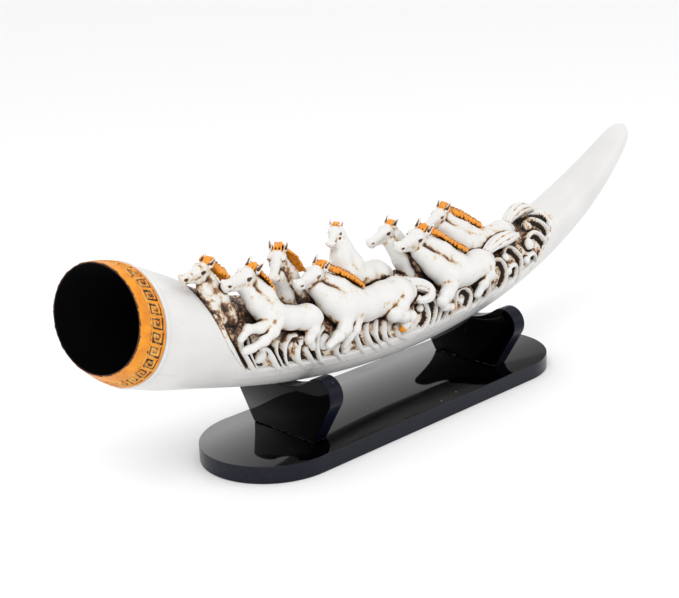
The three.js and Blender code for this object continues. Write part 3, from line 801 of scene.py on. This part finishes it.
class Shade:
    """A material under construction: small helpers over Blender's shader nodes."""

    def __init__(self, name):
        self.material = bpy.data.materials.new(name)
        self.material.use_nodes = True
        self.nodes = self.material.node_tree.nodes
        self.links = self.material.node_tree.links
        self.shader = self.nodes["Principled BSDF"]
        self.place = self.nodes.new("ShaderNodeTexCoord").outputs["Object"]

    def feed(self, socket, value):
        if isinstance(value, bpy.types.NodeSocket):
            self.links.new(value, socket)
        else:
            socket.default_value = value

    def add(self, kind, settings=None, **inputs):
        """A node with its settings made and its inputs set or linked."""
        node = self.nodes.new("ShaderNode" + kind)
        for key, value in (settings or {}).items():
            setattr(node, key, value)
        for key, value in inputs.items():
            self.feed(node.inputs[key.replace("_", " ")], value)
        return node

    def noise(self, scale, detail=3.0, roughness=0.55, stretch=None):
        place = self.place
        if stretch:
            place = self.add("Mapping", Scale=stretch, Rotation=(0.3, 0.5, 0.2),
                             Vector=place).outputs["Vector"]
        return self.add("TexNoise", Scale=scale, Detail=detail, Roughness=roughness,
                        Vector=place).outputs["Fac"]

    def grains(self, scale):
        return self.add("TexVoronoi", Scale=scale, Vector=self.place).outputs["Distance"]

    def attribute(self, name):
        return self.add("Attribute", {"attribute_name": name}).outputs["Fac"]

    def ramp(self, value, stops):
        node = self.add("ValToRGB", Fac=value)
        band = node.color_ramp
        band.elements[0].position, band.elements[0].color = stops[0]
        band.elements[1].position, band.elements[1].color = stops[-1]
        for position, colour in stops[1:-1]:
            band.elements.new(position).color = colour
        return node.outputs["Color"]

    def maths(self, kind, a, b):
        node = self.add("Math", {"operation": kind})
        self.feed(node.inputs[0], a)
        self.feed(node.inputs[1], b)
        return node.outputs[0]

    def times(self, a, b):
        return self.maths("MULTIPLY", a, b)

    def plus(self, a, *others):
        for b in others:
            a = self.maths("ADD", a, b)
        return a

    def rescale(self, value, low, high, new_low=0.0, new_high=1.0):
        return self.add("MapRange", Value=value, From_Min=low, From_Max=high, To_Min=new_low,
                        To_Max=new_high).outputs["Result"]

    def mix(self, share, a, b):
        return self.add("Mix", {"data_type": "RGBA"}, Factor=share, A=a, B=b).outputs["Result"]

    def bump(self, height, strength, distance):
        node = self.add("Bump", Strength=strength, Distance=distance, Height=height)
        self.links.new(node.outputs["Normal"], self.shader.inputs["Normal"])

    def set(self, **inputs):
        for key, value in inputs.items():
            self.feed(self.shader.inputs[key.replace("_", " ")], value)


IVORY_LIGHT, IVORY_GREY = hex_colour("DCDBD9"), hex_colour("D0CFCE")
CREAM, TAN = hex_colour("D3C2A8"), hex_colour("9A7350")
UMBER, BISTRE = hex_colour("4A2C1C"), hex_colour("150B07")
GILT_LIGHT, GILT, GILT_DARK = hex_colour("EE9A04"), hex_colour("D67E00"), hex_colour("4E2403")


def ivory_resin():
    """Cast ivory-white resin under a thin clear coat, with faint clouding and fine scratches."""
    m = Shade("ivory_resin")
    cloud = m.rescale(m.noise(28, 4), 0.35, 0.7)
    colour = m.mix(cloud, IVORY_LIGHT, IVORY_GREY)
    warm = m.rescale(m.noise(9, 2), 0.55, 0.75, 0, 0.5)
    colour = m.mix(warm, colour, hex_colour("D6D2CA"))
    scratch = m.rescale(m.noise(160, 2, 0.4, (0.25, 7.0, 1.0)), 0.70, 0.76)
    speck = m.rescale(m.noise(900, 1), 0.76, 0.82)
    marks = m.maths("MAXIMUM", m.times(scratch, 0.22), m.times(speck, 0.4))
    colour = m.mix(marks, colour, hex_colour("A59B8F"))
    m.set(Base_Color=colour, Roughness=m.rescale(m.noise(60, 3), 0.3, 0.7, 0.27, 0.38), IOR=1.5,
          Coat_Weight=0.15, Coat_Roughness=0.2)
    m.bump(m.plus(m.noise(700, 2), m.times(scratch, -0.6)), 0.05, 0.0003)
    return m.material


def antiqued_resin():
    """The same resin where it is carved: brown wash and painted shade in the hollows and crevices,
    gilt paint where masked.
    """
    m = Shade("antiqued_resin")
    # fine and broad say how enclosed a place is; in the stain they give painted shade in the
    # crevices and where the horses meet the ground.
    fine = m.maths("MAXIMUM", m.attribute("fine"), -0.08)
    broad = m.maths("MAXIMUM", m.attribute("broad"), -0.1)
    rough, paint, ink = m.attribute("rough"), m.attribute("gilt"), m.attribute("ink")
    mottle = m.rescale(m.noise(420, 4, 0.65), 0.3, 0.7, -0.24, 0.24)
    mottle = m.times(mottle, m.plus(1.0, m.times(rough, 0.5)))
    blotch = m.rescale(m.noise(120, 3, 0.6), 0.3, 0.7, -0.14, 0.14)
    stain_and_shade = m.plus(m.times(fine, 1.25), m.times(broad, 0.55), m.times(rough, 0.5),
                   m.times(ink, 0.62), m.plus(mottle, blotch))
    wash = m.ramp(stain_and_shade, [(0.0, IVORY_LIGHT), (0.13, hex_colour("DAD7D0")), (0.25, CREAM),
                          (0.40, TAN), (0.58, UMBER), (0.85, BISTRE)])
    # Painted shade on the gilt paint in crevices, where fine is high, with dirt from the mottle.
    grime_and_shade = m.rescale(m.plus(m.times(fine, 1.2), mottle), 0.2, 0.75)
    orange = m.mix(m.rescale(m.noise(500, 3), 0.35, 0.65), GILT, GILT_LIGHT)
    orange = m.mix(grime_and_shade, orange, GILT_DARK)
    orange = m.mix(m.times(ink, 0.85), orange, hex_colour("3A1A04"))
    m.set(Base_Color=m.mix(paint, wash, orange), Roughness=m.rescale(stain_and_shade, 0.2, 0.8, 0.33, 0.72),
          IOR=1.5, Coat_Weight=0.1, Coat_Roughness=0.25)
    grain = m.times(m.grains(1100), m.plus(m.times(rough, 0.9), 0.1))
    m.bump(m.plus(grain, m.times(m.noise(1500, 3), 0.35)), 0.35, 0.0004)
    return m.material


def gilt_band():
    """Orange-gold paint, worn and with a painted highlight on the edges of the raised key, and dark
    in its grooves.
    """
    m = Shade("gilt_paint")
    groove, edge = m.attribute("groove"), m.attribute("rubbed_and_highlit")
    patch = m.rescale(m.noise(260, 4, 0.6), 0.35, 0.68)
    colour = m.mix(patch, GILT, GILT_LIGHT)
    colour = m.mix(m.rescale(m.noise(90, 3), 0.5, 0.75, 0, 0.6), colour, hex_colour("BE6604"))
    dirt = m.plus(groove, m.rescale(m.noise(520, 5, 0.75), 0.38, 0.66, -0.25, 0.5))
    colour = m.mix(m.rescale(dirt, 0.3, 0.7), colour, hex_colour("3A1A04"))
    # Pale gold on the raised key's edges: worn paint and a painted highlight.
    wear_and_highlight = m.times(edge, m.rescale(m.noise(380, 3, 0.6), 0.45, 0.65, 0, 0.8))
    colour = m.mix(wear_and_highlight, colour, hex_colour("E8C070"))
    m.set(Base_Color=colour, Roughness=m.rescale(dirt, 0.2, 0.9, 0.32, 0.65))
    m.bump(m.noise(1400, 3), 0.2, 0.0003)
    return m.material


def bore_paint():
    """Flat black paint, a little brown and dusty in patches."""
    m = Shade("bore_black")
    dust = m.rescale(m.noise(300, 4, 0.7), 0.5, 0.8, 0, 0.25)
    m.set(Base_Color=m.mix(dust, hex_colour("020202"), hex_colour("0E0A08")),
          Roughness=m.rescale(m.noise(120, 3), 0.3, 0.7, 0.8, 0.95), Specular_IOR_Level=0.08)
    m.bump(m.noise(900, 3), 0.2, 0.0003)
    return m.material


def black_acrylic(name, index):
    """Polished black sheet: mirror faces, laser-cut edges with fine speckle and specks of glue."""
    m = Shade(name)
    cut, seam = m.attribute("cut_edge"), m.attribute("seam")
    height = m.add("SeparateXYZ", Vector=m.place).outputs["Z"]
    line = m.times(seam, m.rescale(height, 0.0086, 0.0081))
    speck = m.rescale(m.noise(1500, 2, 0.6), 0.64, 0.74)
    glue = m.times(line, m.rescale(m.noise(800, 3, 0.7), 0.5, 0.6))
    dust = m.rescale(m.noise(520, 1, 0.4), 0.80, 0.815)
    edge = m.mix(speck, hex_colour("050818"), hex_colour("1C2444"))
    colour = m.mix(cut, hex_colour("010102"), edge)
    colour = m.mix(m.times(dust, 0.55), colour, hex_colour("B8BCC8"))
    colour = m.mix(m.times(glue, 0.5), colour, hex_colour("B9BCC4"))
    rough = m.plus(m.rescale(m.noise(35, 3), 0.3, 0.7, 0.03, 0.07), m.times(cut, 0.2),
                   m.times(glue, 0.3))
    m.set(Base_Color=colour, Roughness=rough, IOR=index)
    m.bump(m.times(m.noise(900, 2), cut), 0.12, 0.0003)
    return m.material


ivory = ivory_resin()
antiqued = antiqued_resin()
gilt = gilt_band()
bore_black = bore_paint()
# The two copies differ only in IOR: the cradles' lower IOR makes their faces reflect less and look
# darker, a shaded copy of the same acrylic.
base_acrylic = black_acrylic("black_acrylic_base", 1.34)
cradle_acrylic = black_acrylic("black_acrylic_cradle", 1.22)

# Horn shell -------------------------------------------------------------------------------------


def make_shell():
    """Smooth horn with a bead behind the band, a floor under the carved field and a bore."""
    bead = [(11.05, -0.9), (11.2, 0.1), (11.9, 0.45), (12.7, 0.3), (13.4, 0.0)]
    s = np.concatenate([[b[0] for b in bead], np.linspace(14.2, 30, 12), np.linspace(31, 290, 330),
                        np.linspace(291.5, 0.94 * HORN_LENGTH, 50),
                        HORN_LENGTH * (1 - 0.06 * (1 - np.linspace(0, 1, 18)[1:]) ** 2)])
    around = np.linspace(0, 360, 240, endpoint=False)
    grid_s, degrees = np.meshgrid(s, around, indexing="ij")
    turned = (degrees + 60) % 360 - 60
    radius = outer_radius(grid_s) + np.interp(grid_s, *zip(*bead), right=0.0)
    radius = np.where(grid_s >= HORN_LENGTH - 1e-6, 0.02, radius)
    _, b = field_share(grid_s, turned)
    inset = np.minimum.reduce([*field_edges(grid_s, turned, b), up_field(grid_s, turned)])
    radius -= RECESS * smooth(inset, 0.6, 2.0)
    outside = on_section(grid_s, degrees, radius)
    bore_s = np.concatenate([np.linspace(11.05, 150, 60), np.linspace(152, BORE_DEPTH - 0.1, 14)])
    bore_grid, bore_degrees = np.meshgrid(bore_s, around, indexing="ij")
    bore = on_section(bore_grid, bore_degrees, np.maximum(through(BORE, bore_grid) + 0.15, 0.05))
    points, quads, caps = closed_tube(np.concatenate([outside[::-1], bore]), inward=True)
    make_piece("horn", points, quads, "horn", ["horn_shell"], ivory, tris=caps)


def make_lining():
    """The black coat of the bore, from just inside the lip to the bore's end."""
    s = np.concatenate([np.linspace(0.12, 60, 50), np.linspace(62, BORE_DEPTH - 1, 50)])
    grid_s, degrees = np.meshgrid(s, np.linspace(0, 360, 144, endpoint=False), indexing="ij")
    radius = np.clip(through(BORE, grid_s), 0.5, LIP_BORE) - 0.1
    ripple = 0.04 * lattice_noise(grid_s / 3, degrees / 9, 21)
    inner = on_section(grid_s, degrees, radius + ripple)
    outer = on_section(grid_s + 0.3 * (grid_s > BORE_DEPTH - 1.5), degrees, radius + 0.16)
    points, quads, caps = closed_tube(np.concatenate([inner[::-1], outer]))
    make_piece("bore_coat", points, quads, "horn", [], bore_black, tris=caps)


make_shell()
make_lining()

# Carved ground and waves ------------------------------------------------------------------------


def field_grid(rows, columns):
    """A grid over the field and its margins: s, degrees, a and b of every point."""
    a, b = np.meshgrid(np.linspace(-MARGIN_ALONG, 1 + MARGIN_ALONG, rows),
                       np.linspace(-MARGIN_UP, 1 + MARGIN_UP, columns), indexing="ij")
    start, end = field_span(b)
    s = start * (1 - a) + end * a
    return s, through(FIELD_FOOT, s) * (1 - b) + FIELD_TOP * b, a, b


def hollow_ink(s, degrees):
    """The wash lying in the hollows of the waves."""
    crest, hollow = wave_relief(s, up_field(s, degrees))
    ink = smooth(hollow, 0.3, 1.2) * (1 - 0.4 * smooth(crest, 0.2, 1.0))
    low = 0.42 * smooth(crest, 0.7, -0.9) * smooth(up_field(s, degrees), 20, 11)
    return np.maximum(ink, low).ravel()


def make_relief(crowding):
    """The carved field as one skin over the shell, with a flat underside and walls all round."""
    s, degrees, a, b = field_grid(600, 150)
    height, rough = relief_height(s, degrees, b)
    rows, columns = s.shape
    count = rows * columns
    over = on_horn(s, degrees, height + 0.015).reshape(-1, 3)
    under = on_horn(s, degrees, -GROUND_DEPTH).reshape(-1, 3)
    top = grid_quads(rows, columns)
    index = np.arange(count).reshape(rows, columns)
    loop = np.concatenate([index[0, :], index[1:, -1], index[-1, -2::-1], index[-2:0:-1, 0]])
    after = np.roll(loop, -1)
    wall = np.stack([loop, loop + count, after + count, after], 1)
    # fine and broad darken the carved field where the horn, the ground and the horses enclose it:
    # painted shade in the crevices.
    fine, broad = crowding.at(over)
    edge = np.minimum.reduce([a + MARGIN_ALONG, 1 + MARGIN_ALONG - a, (b + MARGIN_UP) * 0.2,
                              (1 + MARGIN_UP - b) * 0.2])
    near_edge, rough = smooth(edge, 0.0, 0.012).ravel(), rough.ravel()
    marks = {"fine": fine, "broad": broad * rough, "rough": rough, "gilt": 0 * rough,
             "ink": hollow_ink(s, degrees)}
    make_piece("carved_ground", np.concatenate([over, under]),
               np.concatenate([top, top[:, ::-1] + count, wall]), "horn",
               ["rock_ground"] + [f"wave_{k}" for k in range(1, 15)], antiqued,
               {key: np.append(mark * near_edge, np.zeros(count)) for key, mark in marks.items()})


arts = {name: sculpt_horse(spec) for name, spec in HERD.items()}
crowding = Crowding(arts)
make_relief(crowding)
for name, art in arts.items():
    points, quads = art.skin()
    # fine and broad darken each horse where the ground and the other horses enclose it: painted
    # shade.
    fine, broad = crowding.at(points)
    paint = smooth(art.sample(art.gilt, points), 0.22, 0.05)
    height = height_over(points)
    low = smooth(height, 5.0, 0.5) * (1 - paint)
    wash = HERD[name]["wash"] * smooth(height, 24, 8)
    poll, muzzle = (station(q) for q in HERD[name]["head"])
    size = np.linalg.norm(muzzle - poll)
    near = np.linalg.norm(points - 0.45 * poll - 0.55 * muzzle, axis=1)
    wash += 0.15 * smooth(near, 0.75 * size, 0.5 * size) * (1 - paint)
    make_piece(name, points, quads, "horn", [name], antiqued,
               {"fine": fine, "broad": broad * 0.9, "rough": 0.6 * low + wash, "gilt": paint,
                # ink joins the cut marks, which hold brown wash, and the creases of the skin, where
                # it is painted shade.
                "ink": np.maximum(smooth(art.sample(art.ink, points), 0.4, 0.0),
                                  smooth(art.creases(points), 0.3, 0.85))})

# Mouth band -------------------------------------------------------------------------------------

KEY = ("########",
       "#......#",
       "#.####.#",
       "#.#..#.#",
       "#.#.##.#",
       "#.#....#",
       "#.######",
       "#.......")
KEY_COUNT = 27


def key_height(s, degrees):
    """1 on the raised lines of the key pattern round the band, 0 between them."""
    rows, columns = len(KEY), len(KEY[0])
    table = np.array([[c == "#" for c in row] for row in KEY], float)
    v = (s - KEY_LOW) / (KEY_HIGH - KEY_LOW) * rows
    u = (degrees / 360 * KEY_COUNT % 1) * columns
    total = np.zeros(np.shape(s))
    for dv in (-0.28, 0.0, 0.28):
        for du in (-0.28, 0.0, 0.28):
            i = np.floor(v + dv).astype(int)
            j = np.floor(u + du).astype(int) % columns
            hit = table[np.clip(i, 0, rows - 1), j]
            total += np.where((i >= 0) & (i < rows), hit, 0)
    return total / 9


def make_band():
    """The painted band: its key pattern outside and the start of the bore inside."""
    flare = [(0, LIP_RADIUS - 0.15), (0.8, LIP_RADIUS + 0.35),
             (0.6 * BAND_LENGTH, LIP_RADIUS + 0.72 * (BAND_RADIUS - LIP_RADIUS)),
             (BAND_LENGTH, BAND_RADIUS)]
    s = np.concatenate([np.linspace(0.0, KEY_LOW - 0.1, 16),
                        np.linspace(KEY_LOW, KEY_HIGH, 44),
                        np.linspace(KEY_HIGH + 0.15, BAND_LENGTH, 9)])
    around = np.linspace(0, 360, 1080, endpoint=False)
    grid_s, degrees = np.meshgrid(s, around, indexing="ij")
    key = key_height(grid_s, degrees)
    field = smooth(grid_s, KEY_LOW - 0.3, KEY_LOW + 0.1) * (
        1 - smooth(grid_s, KEY_HIGH - 0.1, KEY_HIGH + 0.3))
    wobble = 0.12 * lattice_noise(grid_s / 2.2, degrees / 4.0, 11)
    lip = 0.1 * lattice_noise(grid_s * 0, degrees / 3.0, 12) * smooth(grid_s, 1.2, 0)
    height = field * (0.75 * key - 0.55) + wobble + lip
    height -= 0.5 * smooth(grid_s, BAND_LENGTH - 0.5, BAND_LENGTH)
    outside = on_section(grid_s, degrees, through(flare, grid_s) + height)
    bore_s = np.linspace(0.05, BAND_LENGTH, 14)
    bore_grid, bore_degrees = np.meshgrid(bore_s, around, indexing="ij")
    bore = on_section(bore_grid, bore_degrees, LIP_BORE + 0.08 + 0 * bore_grid)
    rings = np.concatenate([outside, bore[::-1], outside[:1]], 0)
    rows, columns = rings.shape[:2]
    quads = grid_quads(rows, columns, closed=True) % ((rows - 1) * columns)
    ends = smooth(grid_s, BAND_LENGTH - 0.7, BAND_LENGTH) + 0.8 * smooth(grid_s, 0.5, 0.1)
    groove = np.append((1 - key) * field * 0.95 + ends, np.ones(bore_grid.size))
    # Marks the raised key's edges for worn paint and a painted highlight.
    rubbed_and_highlit = np.append((np.abs(key - 0.5) < 0.35) * field, np.zeros(bore_grid.size))
    make_piece("mouth_band", rings[:-1].reshape(-1, 3), quads, "horn", ["mouth_band"], gilt,
               {"groove": groove, "rubbed_and_highlit": np.clip(rubbed_and_highlit, 0, 1)})


make_band()

# Stand ------------------------------------------------------------------------------------------


def bevel(obj, width, segments):
    """Rounds the sharp edges, with the bevel kept in the mesh."""
    modifier = obj.modifiers.new("polished edges", "BEVEL")
    modifier.width, modifier.segments = width * MM, segments
    modifier.limit_method, modifier.angle_limit = "ANGLE", math.radians(50)
    modifier.harden_normals = True
    bpy.context.view_layer.objects.active = obj
    bpy.context.view_layer.update()
    evaluated = obj.evaluated_get(bpy.context.evaluated_depsgraph_get())
    obj.data = bpy.data.meshes.new_from_object(evaluated)
    obj.modifiers.clear()


def sheet_part(name, outline, place, acrylic, replaced):
    """A plate of the acrylic sheet from its outline; place turns (u, v, depth) into a point."""
    n = len(outline)
    u, v = outline.T
    points = np.concatenate([place(u, v, 0 * u), place(u, v, 0 * u + SHEET)])
    mesh = bpy.data.meshes.new(name)
    sides = [(k, (k + 1) % n, n + (k + 1) % n, n + k) for k in range(n)]
    mesh.from_pydata([tuple(p * MM) for p in points], [],
                     [tuple(range(n))[::-1], tuple(range(n, 2 * n))] + sides)
    mesh.materials.append(acrylic)
    obj = add_object(name, mesh)
    for polygon in mesh.polygons:
        polygon.use_smooth = polygon.index > 1
    bevel(obj, 0.45, 3)
    for polygon in obj.data.polygons:
        polygon.use_smooth = True
    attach(obj, "stand")
    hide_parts(*replaced)
    return obj


def arc(cx, cy, radius, start, end, count):
    t = np.linspace(start, end, count)
    return np.stack([cx + radius * np.cos(t), cy + radius * np.sin(t)], 1)


def base_outline():
    length, width = (base_high - base_low)[:2]
    middle, half = (length - width) / 2, width / 2
    return np.concatenate([arc(middle, 0, half, -math.pi / 2, math.pi / 2, 72),
                           arc(-middle, 0, half, math.pi / 2, 1.5 * math.pi, 72)])


CRADLE_FOOT, CRADLE_TIP_RADIUS, CRADLE_TIP_SPREAD, SEAT_RADIUS = 40.0, 8.0, 49.6, 34.0


def cradle_outline():
    tip_x, foot = CRADLE_TIP_SPREAD / 2, CRADLE_FOOT / 2
    seat_y = seat_height() - 0.3 - SHEET + SEAT_RADIUS
    tip_y = seat_y - math.sqrt((SEAT_RADIUS + CRADLE_TIP_RADIUS) ** 2 - tip_x**2)
    flank = (math.atan2(tip_y, tip_x - foot) - math.pi
             + math.acos(CRADLE_TIP_RADIUS / math.hypot(tip_y, tip_x - foot)))
    join = math.atan2(seat_y - tip_y, -tip_x)
    return np.concatenate([[(foot, 0.0)],
                           arc(tip_x, tip_y, CRADLE_TIP_RADIUS, flank, join, 30),
                           arc(0, seat_y, SEAT_RADIUS, join - math.pi, -join, 40)[1:-1],
                           arc(-tip_x, tip_y, CRADLE_TIP_RADIUS, math.pi - join,
                               math.pi - flank, 30), [(-foot, 0.0)]])


def acrylic_marks(obj, edge_axis, seam):
    """Marks the cut edges, and the pieces whose foot carries a glue line."""
    mesh = obj.data
    normal = np.zeros(len(mesh.vertices) * 3)
    mesh.vertices.foreach_get("normal", normal)
    cut = smooth(np.abs(normal.reshape(-1, 3)[:, edge_axis]), 0.85, 0.6)
    for key, values in (("cut_edge", cut), ("seam", np.full(len(cut), float(seam)))):
        mesh.attributes.new(key, "FLOAT", "POINT").data.foreach_set(
            "value", values.astype(np.float32))


base = sheet_part("base_plate_polished", base_outline(),
                  lambda u, v, d: np.stack([u, v, d], 1), base_acrylic, ["base_plate"])
acrylic_marks(base, 2, False)
for side, low in (("left", left_low), ("right", right_low)):
    cradle = sheet_part(f"cradle_{side}_polished", cradle_outline(),
                        lambda u, v, d, x=low[0]: np.stack([x + d, u, SHEET + v], 1),
                        cradle_acrylic, [f"cradle_{side}"])
    acrylic_marks(cradle, 0, True)

# Studio -----------------------------------------------------------------------------------------

floor_mesh = bpy.data.meshes.new("floor")
floor_mesh.from_pydata([(-30, -30, 0), (30, -30, 0), (30, 30, 0), (-30, 30, 0)], [],
                       [(0, 1, 2, 3)])
add_object("floor", floor_mesh)
paper = Shade("pale_floor")
paper.set(Base_Color=hex_colour("F7F7F7"), Roughness=0.9)
floor_mesh.materials.append(paper.material)

world = bpy.data.worlds.new("studio")
world.use_nodes = True
sky = world.node_tree.nodes["Background"].inputs
sky["Color"].default_value = (1, 1, 1, 1)
sky["Strength"].default_value = 1.0
bpy.context.scene.world = world


def softbox(name, place, aim, size, watts):
    light = bpy.data.lights.new(name, "AREA")
    light.shape, light.size, light.size_y = "RECTANGLE", size[0], size[1]
    light.energy = watts
    lamp = add_object(name, light)
    lamp.location = place
    lamp.rotation_mode = "QUATERNION"
    lamp.rotation_quaternion = (Vector(aim) - Vector(place)).to_track_quat("-Z", "Y")


HORN_MIDDLE = (0.0, 0.0, 0.06)
softbox("key", (-0.7, -0.5, 1.1), HORN_MIDDLE, (0.7, 0.5), 5)
softbox("fill", (0.8, -1.0, 0.5), HORN_MIDDLE, (0.8, 0.6), 1.2)

camera = add_object("camera", bpy.data.cameras.new("camera"))
bpy.context.scene.camera = camera
azimuth, elevation, roll = map(math.radians, (-42.98, 17.28, -2.84))
back = Vector((math.sin(azimuth) * math.cos(elevation), -math.cos(azimuth) * math.cos(elevation),
               math.sin(elevation)))
camera.location = (-0.4136, -0.4147, 0.2372)
camera.rotation_mode = "QUATERNION"
turn = (-back).to_track_quat("-Z", "Y").to_matrix()
camera.rotation_quaternion = (turn @ Matrix.Rotation(-roll, 3, "Z").inverted()).to_quaternion()
camera.data.lens = 68.93
camera.data.sensor_width = 36
camera.data.clip_start, camera.data.clip_end = 0.01, 100

bpy.context.scene.view_settings.view_transform = "Standard"
